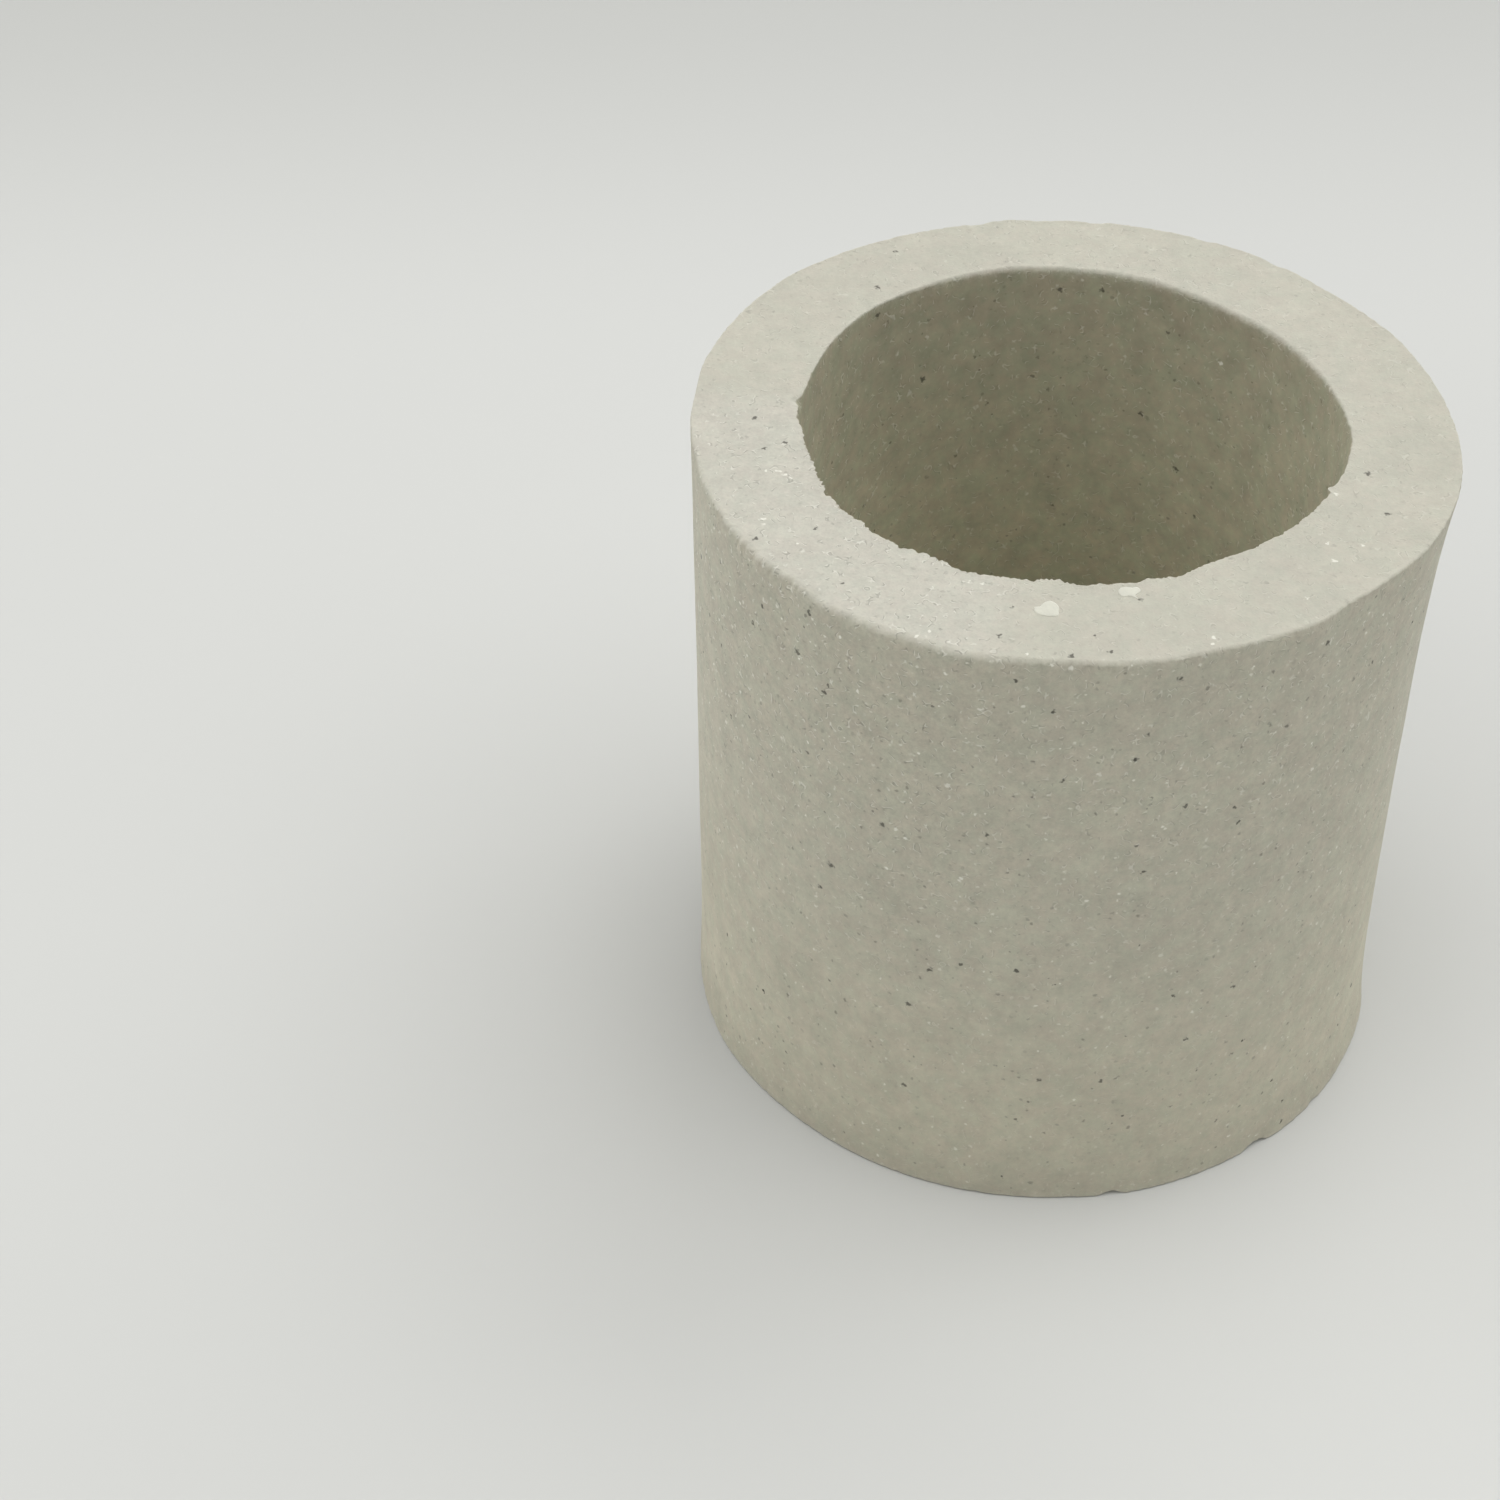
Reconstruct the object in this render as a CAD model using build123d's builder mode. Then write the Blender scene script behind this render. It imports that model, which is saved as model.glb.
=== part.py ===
from build123d import *
from dataclasses import dataclass
from math import cos, radians, sin, sqrt
import os

# Ceramic packing ring: a short, thick-walled tube as tall as it is wide. The clay was pushed
# through a die as one long tube, cut to length with a wire while it was soft, and fired
# without a glaze. Sizes are in millimetres. Bearings are angles in degrees about the tube's
# axis, from +X towards +Y. The origin is the centre of the base, and +Z runs up the axis.

os.makedirs("parts", exist_ok=True)

# Tube
outer_diameter = 38.0
wall = 5.5
height = 38.0

# Rims: rounded where the cutting wire went into the clay, crisp where it came out
entry_round = 0.6  # radius of the edges by which the wire went in
exit_round = 0.15  # width of the worn edge by which it came out
wall_gap = 0.02  # the rounding stays this far off the wall, so that it never only grazes it
top_heading = 65.0  # bearing towards which the wire ran across the top
base_heading = 20.0  # bearing towards which it ran across the base

# Lips: clay dragged outwards where the wire left the tube, flaring out of the wall to the rim
top_lip_reach = 0.8
top_lip_height = 12.0
top_lip_bearing = -10.0  # where the lip stands out most
base_lip_reach = 0.5
base_lip_height = 5.0
base_lip_bearing = -30.0
lip_spread = 45.0  # angle each side of the bearing at which a lip has died away
lip_root = 0.05  # depth of the flare's lower end inside the wall

# Nicks: small bites torn out of the crisp edges, as bearing and width along the edge
nick_depth = 0.22
top_bore_nicks = (
    (176, 2.2),
    (203, 1.3),
    (217, 1.8),
    (234, 2.4),
    (252, 1.5),
    (276, 3.0),
    (303, 1.7),
    (333, 1.2),
)
top_outer_nicks = ((-48, 1.6), (8, 1.3), (56, 1.8), (69, 1.2), (88, 2.2), (107, 1.5))
base_outer_nicks = ((-75, 2.4), (-47, 1.8), (-31, 1.3), (14, 2.0))

outer_radius = outer_diameter / 2
bore_radius = outer_radius - wall

# The cutter that rounds the bore's edge is set off its axis along the heading, so that it
# rounds the far edge fully and the near edge hardly at all
bore_shift = (entry_round - exit_round - wall_gap) / 2
bore_envelope = bore_radius - wall_gap - bore_shift
cutter_margin = 2 * (entry_round + max(top_lip_reach, base_lip_reach))


@dataclass
class CutEnd:
    """One wire-cut end: its level, the side it faces (1 is up), the wire's heading and
    what the wire left at the outer edge."""

    level: float
    side: int
    heading: float
    lip_bearing: float
    lip_reach: float
    lip_height: float
    outer_nicks: tuple

    @property
    def lip_shift(self):
        """How far the lip is set off the tube's axis, so that it shows on one side only."""
        return self.lip_reach / (1 - cos(radians(lip_spread)))

    @property
    def outer_shift(self):
        """How far the outer edge's cutter is set off along the heading. It rounds the edge
        by which the wire went in, and only wears the edge where the lip stands out most."""
        room = entry_round - exit_round + self.lip_reach - wall_gap
        return room / (1 + cos(radians(self.heading - self.lip_bearing)))

    def plane(self, bearing, shift):
        """Upright plane through an axis set off along a bearing: its x points along the
        bearing, and its y points out of the end face."""
        along = Vector(cos(radians(bearing)), sin(radians(bearing)), 0)
        origin = along * shift + Vector(0, 0, self.level)
        return Plane(origin=origin, x_dir=along, z_dir=along.cross(Vector(0, 0, self.side)))

    def edge_radius(self, bearing):
        """Radius of the outer edge, which stands out of the wall where the lip is."""
        fall = self.lip_shift * (1 - cos(radians(bearing - self.lip_bearing)))
        return outer_radius + max(0, self.lip_reach - fall)


def lip_flare(end, plane):
    """Section of the lip: it leaves the wall upright and curves outwards to the rim."""
    rim = outer_radius + end.lip_reach - end.lip_shift
    with BuildSketch(plane) as section:
        with BuildLine():
            flare = TangentArc(
                (rim - end.lip_reach - lip_root, -end.lip_height),
                (rim, 0),
                tangent=(0, 1),
            )
            Polyline(flare @ 1, (0, 0), (0, -end.lip_height), flare @ 0)
        make_face()
    return section.sketch


def outer_rounding(end, plane):
    """Section of the clay that is missing outside the rounded outer edge."""
    envelope = outer_radius + wall_gap + end.outer_shift
    with BuildSketch(plane) as section:
        with BuildLine():
            arc = RadiusArc(
                (envelope, -entry_round),
                (envelope - entry_round, 0),
                -entry_round,
            )
            Polyline(
                arc @ 1,
                (envelope - entry_round, cutter_margin),
                (envelope + cutter_margin, cutter_margin),
                (envelope + cutter_margin, -entry_round),
                arc @ 0,
            )
        make_face()
    return section.sketch


def bore_rounding(plane):
    """Section of the space above and inside the rounded edge of the bore."""
    with BuildSketch(plane) as section:
        with BuildLine():
            arc = RadiusArc(
                (bore_envelope, -entry_round),
                (bore_envelope + entry_round, 0),
                entry_round,
            )
            Polyline(
                arc @ 1,
                (bore_envelope + entry_round, cutter_margin),
                (0, cutter_margin),
                (0, -entry_round),
                arc @ 0,
            )
        make_face()
    return section.sketch


def tear(end, bearing, width, radius, outward):
    """Bite a ball out of an edge of the given radius, so deep that the bite is as wide as
    asked. Outward is 1 on the outer edge and -1 on the bore's."""
    ball_radius = (width**2 / 4 + nick_depth**2) / (2 * nick_depth)
    offset = (ball_radius - nick_depth) / sqrt(2)
    reach = radius + outward * offset
    x = reach * cos(radians(bearing))
    y = reach * sin(radians(bearing))
    with Locations((x, y, end.level + end.side * offset)):
        Sphere(ball_radius, mode=Mode.SUBTRACT)


top = CutEnd(
    level=height,
    side=1,
    heading=top_heading,
    lip_bearing=top_lip_bearing,
    lip_reach=top_lip_reach,
    lip_height=top_lip_height,
    outer_nicks=top_outer_nicks,
)
base = CutEnd(
    level=0,
    side=-1,
    heading=base_heading,
    lip_bearing=base_lip_bearing,
    lip_reach=base_lip_reach,
    lip_height=base_lip_height,
    outer_nicks=base_outer_nicks,
)

with BuildPart() as ring:
    with BuildSketch():
        Circle(outer_radius)
    extrude(amount=height)

    for end in (top, base):
        lip_plane = end.plane(end.lip_bearing, end.lip_shift)
        revolve(lip_flare(end, lip_plane), axis=Axis(lip_plane.origin, (0, 0, 1)))

    with BuildSketch():
        Circle(bore_radius)
    extrude(amount=height, mode=Mode.SUBTRACT)

    for end in (top, base):
        outer_plane = end.plane(end.heading, end.outer_shift)
        revolve(
            outer_rounding(end, outer_plane),
            axis=Axis(outer_plane.origin, (0, 0, 1)),
            mode=Mode.SUBTRACT,
        )
        bore_plane = end.plane(end.heading, bore_shift)
        revolve(
            bore_rounding(bore_plane),
            axis=Axis(bore_plane.origin, (0, 0, 1)),
            mode=Mode.SUBTRACT,
        )
        for bearing, width in end.outer_nicks:
            tear(end, bearing, width, end.edge_radius(bearing), 1)
    for bearing, width in top_bore_nicks:
        tear(top, bearing, width, bore_radius, -1)

ring.part.label = "ring"
export_step(ring.part, "parts/ring.step")
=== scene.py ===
"""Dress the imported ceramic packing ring: one unglazed stoneware tube with wire-cut ends.

Lengths are in millimetres and turned into metres where a mesh is written. Bearings are angles
in degrees about the ring's axis, from +X towards +Y, so the near side is at -90.
"""

import logging
from dataclasses import dataclass, field
from enum import Enum

import bpy
import numpy as np
from mathutils import Matrix, Vector


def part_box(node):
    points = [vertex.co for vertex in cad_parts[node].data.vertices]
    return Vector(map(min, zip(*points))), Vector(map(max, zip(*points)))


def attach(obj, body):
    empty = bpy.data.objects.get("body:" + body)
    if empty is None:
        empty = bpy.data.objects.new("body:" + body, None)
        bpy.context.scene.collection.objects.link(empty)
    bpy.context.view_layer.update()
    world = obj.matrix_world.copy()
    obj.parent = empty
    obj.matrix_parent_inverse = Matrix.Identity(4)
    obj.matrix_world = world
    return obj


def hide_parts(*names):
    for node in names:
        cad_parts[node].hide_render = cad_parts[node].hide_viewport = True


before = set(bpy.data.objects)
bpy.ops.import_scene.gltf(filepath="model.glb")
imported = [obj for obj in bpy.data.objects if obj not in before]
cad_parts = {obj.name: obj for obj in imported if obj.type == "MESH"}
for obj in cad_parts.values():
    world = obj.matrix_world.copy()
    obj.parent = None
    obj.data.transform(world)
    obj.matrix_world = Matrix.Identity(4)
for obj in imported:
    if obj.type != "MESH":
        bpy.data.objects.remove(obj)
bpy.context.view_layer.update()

Array = np.ndarray
Colour = tuple[float, float, float]
Knots = tuple[tuple[float, float], ...]
Spots = tuple[tuple[float, float, float], ...]
Socket = bpy.types.NodeSocket
Node = bpy.types.Node
Tree = bpy.types.NodeTree
Material = bpy.types.Material
Piece = bpy.types.Object

MM = 0.001
BODY = "root"
NODE = "ring"

log = logging.getLogger("packing_ring")


def ease(t: Array) -> Array:
    """Ease from 0 to 1 with flat ends, as 3t^2 - 2t^3 with t held between 0 and 1."""
    t = np.clip(t, 0.0, 1.0)
    return t * t * (3.0 - 2.0 * t)


def rise(value: Array, low: float, high: float) -> Array:
    """Ease from 0 at low to 1 at high."""
    return ease((value - low) / (high - low))


def turn(bearing: Array, centre: float) -> Array:
    """Signed angle in degrees from a centre bearing, between -180 and 180."""
    return (bearing - centre + 180.0) % 360.0 - 180.0


def polar(bearing: Array, radius: Array, height: Array) -> Array:
    """Points at the given bearings, radii and heights, with x, y and z along a new last axis."""
    x, y = radius * np.cos(np.radians(bearing)), radius * np.sin(np.radians(bearing))
    return np.stack(np.broadcast_arrays(x, y, height), axis=-1)


@dataclass(frozen=True)
class ClayNoise:
    """Random relief that fills space, so that it has no seam around the ring.

    Each corner of a lattice of cubes has a random value from -1 to 1, and a point takes the
    blend of its cube's eight corners, eased by 3t^2 - 2t^3 along each axis. Each further
    octave has half the cube and half the weight, and its corners miss those of the first.
    """

    seed: int
    cell: float
    octaves: int = 1
    period: int = 64
    octave_shift: float = 7.3

    def at(self, points: Array) -> Array:
        """Evaluate the noise.

        Args:
            points: Places in millimetres, with x, y and z along the last axis.

        Returns:
            Values from about -1 to 1, one for each point.
        """
        table = np.random.default_rng(self.seed).uniform(-1.0, 1.0, (self.period,) * 3)
        total = np.zeros(points.shape[:-1])
        weights = 0.0
        for octave in range(self.octaves):
            share = 0.5**octave
            lattice = points / (self.cell * share) + self.octave_shift * octave
            total += share * self.blend(table, lattice)
            weights += share
        return total / weights

    def blend(self, table: Array, lattice: Array) -> Array:
        """Blend the eight corner values around each place.

        Args:
            table: Random corner values, repeated in every direction.
            lattice: Places in units of one cube.

        Returns:
            The blended values.
        """
        corner = np.floor(lattice).astype(int)
        t = ease(lattice - corner)
        ends = (corner % self.period, (corner + 1) % self.period)
        value = np.zeros(lattice.shape[:-1])
        for pick in np.ndindex(2, 2, 2):
            index = tuple(ends[end][..., axis] for axis, end in enumerate(pick))
            weight = 1.0
            for axis, end in enumerate(pick):
                weight = weight * (t[..., axis] if end else 1.0 - t[..., axis])
            value += weight * table[index]
        return value


@dataclass(frozen=True)
class EdgeLine:
    """A value that changes around an edge, known at a few bearings.

    The value runs straight from knot to knot and is then averaged over a window, with
    weights 1 + cos that fall to nothing at the window's ends.
    """

    knots: Knots
    window: float
    samples: int = 9

    def at(self, bearing: Array) -> Array:
        """Evaluate the line.

        Args:
            bearing: Bearings in degrees.

        Returns:
            The value at each bearing.
        """
        places, values = zip(*self.knots)
        steps = np.linspace(-1.0, 1.0, self.samples + 2)[1:-1]
        weights = 1.0 + np.cos(np.pi * steps)
        total = sum(
            weight * np.interp(bearing + step * self.window, places, values, period=360.0)
            for step, weight in zip(steps, weights)
        )
        return total / weights.sum()


@dataclass(frozen=True)
class Chip:
    """A scoop broken out of an edge.

    The clay is pushed outwards and upwards by depth times (1 - d^2)^2, where d is the
    distance from the scoop's centre over its size, roughened by noise.
    """

    bearing: float
    radius: float
    height: float
    size: float
    depth: float
    outward: float
    upward: float
    roughness: float = 0.35

    def push(self, points: Array, rough: Array) -> tuple[Array, Array]:
        """How far each point is pushed.

        Args:
            points: Places in millimetres.
            rough: Noise from -1 to 1 at the same places.

        Returns:
            The push away from the axis and the push upwards, zero outside the scoop.
        """
        centre = polar(self.bearing, self.radius, self.height)
        distance = np.linalg.norm(points - centre, axis=-1) / self.size
        distance = distance * (1.0 + self.roughness * rough)
        bite = self.depth * np.clip(1.0 - distance**2, 0.0, None) ** 2
        return bite * self.outward, bite * self.upward


@dataclass(frozen=True)
class TornStretch:
    """A stretch of the rim where the clay tore: within reach of a bearing, fading beyond."""

    centre: float
    reach: float
    fade: float = 20.0

    def share(self, bearing: Array) -> Array:
        """1 within the reach, easing to 0 over the fade."""
        return ease(1.0 - (np.abs(turn(bearing, self.centre)) - self.reach) / self.fade)


@dataclass
class Rows:
    """Rows of points around the ring, stacked along its section."""

    around: int
    stack: list[tuple[Array, ...]] = field(default_factory=list)

    def add(
        self,
        radius: Array,
        height: Array,
        out: Array,
        up: Array,
        cut: Array = 0.0,
        inside: Array = 0.0,
        edge: Array = 0.0,
    ) -> None:
        """Add rows.

        Args:
            radius: Distance from the axis.
            height: Height above the base.
            out: Outward part of the surface's direction.
            up: Upward part of the surface's direction.
            cut: 1 on a wire-cut face and 0 on the tube's skin.
            inside: 1 in the bore and 0 elsewhere.
            edge: 1 on the crest of an edge, falling to 0 beside it.
        """
        values = (radius, height, out, up, cut, inside, edge)
        count = np.broadcast_shapes(*(np.shape(value) for value in values))[0]
        shape = (count, self.around)
        self.stack.append(tuple(np.broadcast_to(value, shape) for value in values))

    def joined(self) -> list[Array]:
        """All rows as seven arrays of rows by bearings, in the order that add takes."""
        return [np.concatenate(part, axis=0) for part in zip(*self.stack)]


def row_steps(count: int) -> Array:
    """Middles of equal steps from 0 to 1, as a column of rows."""
    return ((np.arange(count) + 0.5) / count)[:, None]


class Surface(Enum):
    """A surface of the ring, valued by the number of its finish among the mesh's materials."""

    WALL = 0
    BORE = 1
    FACE = 2


@dataclass
class StonewareRing:
    """The tube's visible surface, a little out of round, with lips, torn edges and relief."""

    low: Array
    high: Array
    wall: float = 5.5

    # Points around the near and the far side, rows along the section and how they spread
    near_steps: int = 640
    far_steps: int = 360
    wall_rows: int = 26
    rim_rows: int = 6
    face_rows: int = 26
    bore_rows: int = 20
    base_rim_rows: int = 3
    base_face_rows: int = 4
    face_evenness: float = 0.3
    bore_crowding: float = 2.2

    # What the wall and the edges stand out by, and the radii of the rounded edges
    body: EdgeLine = EdgeLine(
        ((-172, -0.03), (-90, 0.0), (-60, 0.02), (-9, 0.13), (40, -0.02), (90, -0.16), (140, 0.1)),
        window=20.0,
    )
    top_edge: EdgeLine = EdgeLine(
        (
            (-176, 0.08), (-165, -0.06), (-150, 0.06), (-138, 0.04), (-131, -0.12),
            (-125, 0.22), (-118, 0.16), (-110, 0.04), (-103, 0.2), (-96, 0.02), (-88, -0.2),
            (-80, -0.1), (-72, -0.1), (-66, -0.2), (-60, -0.04), (-53, 0.08), (-50.5, 0.25),
            (-47, 0.18), (-43, 0.05), (-36, 0.24), (-30, 0.48), (-26, 0.68), (-20, 0.8),
            (-10, 0.92), (-4, 0.87), (3, 0.74), (10, 0.6), (20, 0.45), (30, 0.38), (38, 0.16),
            (46, 0.0), (52, 0.08), (62, 0.14), (70, 0.06), (80, 0.0), (90, 0.02), (97, -0.15),
            (102, 0.1), (110, -0.04), (122, 0.12), (134, 0.3), (143, 0.46), (155, 0.34),
            (170, 0.26),
        ),
        window=1.5,
    )
    base_edge: EdgeLine = EdgeLine(
        (
            (-160, 0.25), (-150, 0.25), (-140, 0.1), (-130, 0.0), (-80, 0.05), (-70, 0.2),
            (-50, 0.26), (-40, 0.44), (-30, 0.5), (-20, 0.55), (-9, 0.6), (10, 0.3),
            (30, 0.1), (90, -0.1), (150, 0.0),
        ),
        window=3.0,
    )
    mouth: EdgeLine = EdgeLine(
        (
            (-40, 0.0), (-28, 0.16), (-20, 0.38), (-10, 0.66), (2, 0.84), (10, 0.7), (25, 0.46),
            (40, 0.26), (55, 0.08), (66, 0.26), (76, 0.42), (90, 0.46), (105, 0.7), (116, 0.58),
            (130, 0.5), (142, 0.48), (150, 0.32), (162, 0.08), (172, -0.04), (-178, 0.12),
            (-170, 0.0),
        ),
        window=5.0,
    )
    torn_edge: EdgeLine = EdgeLine(
        (
            (-180, 0.0), (-176, 0.0), (-170, 0.2), (-165, 0.25), (-156, 0.22), (-147, 0.02),
            (-140, 0.12), (-135.5, 0.28), (-133, 0.1), (-128, 0.25), (-123.5, 0.12),
            (-119, 0.55), (-115, 0.45), (-111, 0.22), (-104, 0.4), (-94, 0.6), (-89, 0.88),
            (-87.7, 0.6), (-84, 0.47), (-79, 0.48), (-76, 0.47), (-72, 0.36), (-70, 0.58),
            (-63, 0.35), (-58, 0.52), (-54, 0.62), (-47, 0.4), (-38, 0.2), (-31, 0.05),
            (-18.4, 0.05), (-17.7, 0.3), (-16.7, 0.25), (-16.0, 0.05), (0, 0.0), (170, 0.0),
        ),
        window=0.5,
    )
    outer_round: EdgeLine = EdgeLine(
        (
            (-175, 0.13), (-160, 0.26), (-140, 0.3), (-118, 0.34), (-105, 0.4), (-90, 0.3),
            (-70, 0.18), (0, 0.1),
        ),
        window=8.0,
    )
    bore_round: EdgeLine = EdgeLine(
        ((-170, 0.06), (-20, 0.06), (5, 0.12), (35, 0.32), (110, 0.3), (140, 0.12)),
        window=8.0,
    )
    mouth_flare: float = 9.0
    top_flare: float = 5.2
    base_flare: float = 2.6
    base_round: float = 0.15

    # Crumbs along the top edges
    torn_depth: float = 0.5
    crumb_soft_cell: float = 0.55
    crumb_folded_cell: float = 0.26
    crumb_size: float = 0.05
    outer_crumb_seed: int = 12
    bore_crumb_seed: int = 11
    outer_tear: TornStretch = TornStretch(centre=-118.0, reach=30.0)
    outer_torn_size: float = 0.17
    bore_tear: TornStretch = TornStretch(centre=-95.0, reach=70.0)
    bore_torn_size: float = 0.07
    bore_worst: TornStretch = TornStretch(centre=-125.0, reach=38.0)
    bore_worst_gain: float = 1.1

    # Relief of the surfaces
    waves: ClayNoise = ClayNoise(seed=21, cell=4.5, octaves=2)
    wave_depth: float = 0.03
    drag: ClayNoise = ClayNoise(seed=23, cell=0.9, octaves=2)
    drag_squeeze: tuple[float, float, float] = (0.5, 1.0, 1.0)
    drag_depth: float = 0.02
    face_drop: float = 0.06
    grit: ClayNoise = ClayNoise(seed=22, cell=0.32, octaves=2)
    grit_lift: float = 0.2
    grit_depth: float = 0.045
    edge_wear: float = 0.025
    edge_reach: float = 0.3
    chip_noise: ClayNoise = ClayNoise(seed=31, cell=0.35, octaves=2)

    # How bright the clay is, with painted shade at the wall's foot and painted light and shade in
    # the bore
    broad: ClayNoise = ClayNoise(seed=51, cell=6.0, octaves=2)
    broad_contrast: float = 0.04
    foot_painted_shade: float = 0.09
    foot_heights: tuple[float, float] = (0.5, 5.0)
    # Where the wall turns warmer towards the base: partly the clay's own, partly painted warm
    # bounce light
    warm_heights: tuple[float, float] = (24.0, 2.0)
    # Painted light low in the bore, turning into painted shade near its mouth
    low_bore_painted_light: float = 0.13
    bore_painted_shade: float = 0.24
    bore_painted_heights: tuple[float, float] = (15.0, 37.5)

    # How plainly the grain shows
    grain_tear: TornStretch = TornStretch(centre=-140.0, reach=32.0)
    grain_heights: tuple[float, float] = (6.0, 32.0)
    foot_grain: float = 0.62
    top_grain_gain: float = 0.38
    torn_grain_gain: float = 0.2
    bore_grain: float = 0.9
    face_grain: float = 0.8
    torn_face_grain: float = 1.2

    def __post_init__(self) -> None:
        """Take the size from the solid's box and spread the bearings, finer on the near side."""
        self.outer_radius = -self.low[0]
        self.bore_radius = self.outer_radius - self.wall
        self.height = self.high[2]
        near = np.linspace(-180.0, 0.0, self.near_steps, endpoint=False)
        far = np.linspace(0.0, 180.0, self.far_steps, endpoint=False)
        self.bearing = np.concatenate([near, far])

    def wall_radius(self, bearing: Array, height: Array) -> Array:
        """Radius of the outer wall: the body's own, plus what the top and base edges stand out.

        A lip dies away from its edge as exp(-distance / flare).

        Args:
            bearing: Bearings in degrees.
            height: Heights above the base.

        Returns:
            The radii.
        """
        body = self.body.at(bearing)
        top = (self.top_edge.at(bearing) - body) * np.exp(-(self.height - height) / self.top_flare)
        base = (self.base_edge.at(bearing) - body) * np.exp(-height / self.base_flare)
        return self.outer_radius + body + top + base

    def mouth_radius(self, bearing: Array, height: Array) -> Array:
        """Radius of the bore: a circle, and a flare that dies away as exp(-depth / mouth_flare)."""
        flare = np.exp(-(self.height - height) / self.mouth_flare)
        return self.bore_radius + self.mouth.at(bearing) * flare

    def outer(self, height: Array) -> Array:
        """The outer wall's radii at all bearings, with fine crumbs along its top edge.

        Args:
            height: Heights above the base.

        Returns:
            The radii.
        """
        points = polar(self.bearing, self.outer_radius, height)
        size = self.crumb_size + self.outer_torn_size * self.outer_tear.share(self.bearing)
        crumbs = self.teeth(self.outer_crumb_seed, points) * size
        return self.wall_radius(self.bearing, height) + crumbs * self.by_the_top(height)

    def bore(self, height: Array) -> Array:
        """The bore's radii at all bearings, with a torn and crumbly edge at its mouth.

        Args:
            height: Heights above the base.

        Returns:
            The radii.
        """
        points = polar(self.bearing, self.bore_radius, height)
        size = self.crumb_size + self.bore_torn_size * self.bore_tear.share(self.bearing)
        size = size * (1.0 + self.bore_worst_gain * self.bore_worst.share(self.bearing))
        crumbs = self.teeth(self.bore_crumb_seed, points) * size
        burr = self.torn_edge.at(self.bearing) + crumbs
        return self.mouth_radius(self.bearing, height) - burr * self.by_the_top(height)

    def teeth(self, seed: int, points: Array) -> Array:
        """Crumbs with sharp points: a soft noise, and a finer one folded at 0 into points.

        Args:
            seed: Seed of the soft noise.
            points: Places in millimetres.

        Returns:
            Values from about -1 to 1.
        """
        soft_share, folded_share, peak, slope, seed_step = 0.6, 0.7, 0.4, 1.6, 50
        soft = ClayNoise(seed, self.crumb_soft_cell, octaves=3).at(points)
        finer = ClayNoise(seed + seed_step, self.crumb_folded_cell, octaves=2).at(points)
        return soft_share * soft + folded_share * (peak - slope * np.abs(finer))

    def by_the_top(self, height: Array) -> Array:
        """Fade from 1 at the top edge to 0 below it, as exp(-(depth / torn_depth)^2)."""
        return np.exp(-(((self.height - height) / self.torn_depth) ** 2))

    def section(self) -> list[Array]:
        """Lay the rows of the section: up the wall, over the face, down the bore and back.

        Returns:
            Radius, height, outward and upward direction, cut, inside and edge masks, each in
            rows by bearings.
        """
        rows = Rows(self.bearing.size)
        outer_round = self.outer_round.at(self.bearing)
        bore_round = self.bore_round.at(self.bearing)
        outer_top, bore_top = self.height - outer_round, self.height - bore_round
        wall_top, wall_foot = self.outer(outer_top), self.outer(np.zeros((1, 1)))
        mouth, bore_foot = self.bore(np.full((1, 1), self.height)), self.bore(np.zeros((1, 1)))

        def beside(value: Array, *edges: Array) -> Array:
            """Fade from 1 at each edge to 0 beside it, summed."""
            return sum(np.exp(-np.abs(value - edge) / self.edge_reach) for edge in edges)

        def rounded(quarter: int, size: Array, level: Array, wall: Array | None = None) -> None:
            """Add the quarter of a circle that rounds one edge.

            Args:
                quarter: 0 for the wall's top edge, 1 for the bore's, 2 for the bore's foot
                    and 3 for the wall's.
                size: The circle's radius.
                level: The height of its middle.
                wall: The radius of the wall that it meets, or None for the bore's own.
            """
            turned = quarter + row_steps(self.rim_rows if quarter < 2 else self.base_rim_rows)
            out, up = np.cos(turned * np.pi / 2), np.sin(turned * np.pi / 2)
            height = level + size * up
            middle = self.bore(height) + size if wall is None else wall - size
            cut, inside = ease(np.abs(up)), ease(-out)
            rows.add(middle + size * out, height, out, up, cut=cut, inside=inside, edge=1.0)

        share = ease(row_steps(self.wall_rows))
        height = self.base_round + share * (outer_top - self.base_round)
        edge = beside(height, outer_top, self.base_round)
        rows.add(self.outer(height), height, 1.0, 0.0, edge=edge)
        rounded(0, outer_round, outer_top, wall_top)

        share = row_steps(self.face_rows)
        share = self.face_evenness * share + (1.0 - self.face_evenness) * ease(share)
        start, end = wall_top - outer_round, mouth + bore_round
        radius = start + share * (end - start)
        rows.add(radius, self.height, 0.0, 1.0, cut=1.0, edge=beside(radius, start, end))
        rounded(1, bore_round, bore_top)

        share = row_steps(self.bore_rows) ** self.bore_crowding
        height = bore_top - share * (bore_top - self.base_round)
        edge = beside(height, bore_top, self.base_round)
        rows.add(self.bore(height), height, -1.0, 0.0, inside=1.0, edge=edge)
        rounded(2, self.base_round, self.base_round)

        start, end = bore_foot + self.base_round, wall_foot - self.base_round
        radius = start + row_steps(self.base_face_rows) * (end - start)
        rows.add(radius, 0.0, 0.0, -1.0, cut=1.0)
        rounded(3, self.base_round, self.base_round, wall_foot)
        return rows.joined()

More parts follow.
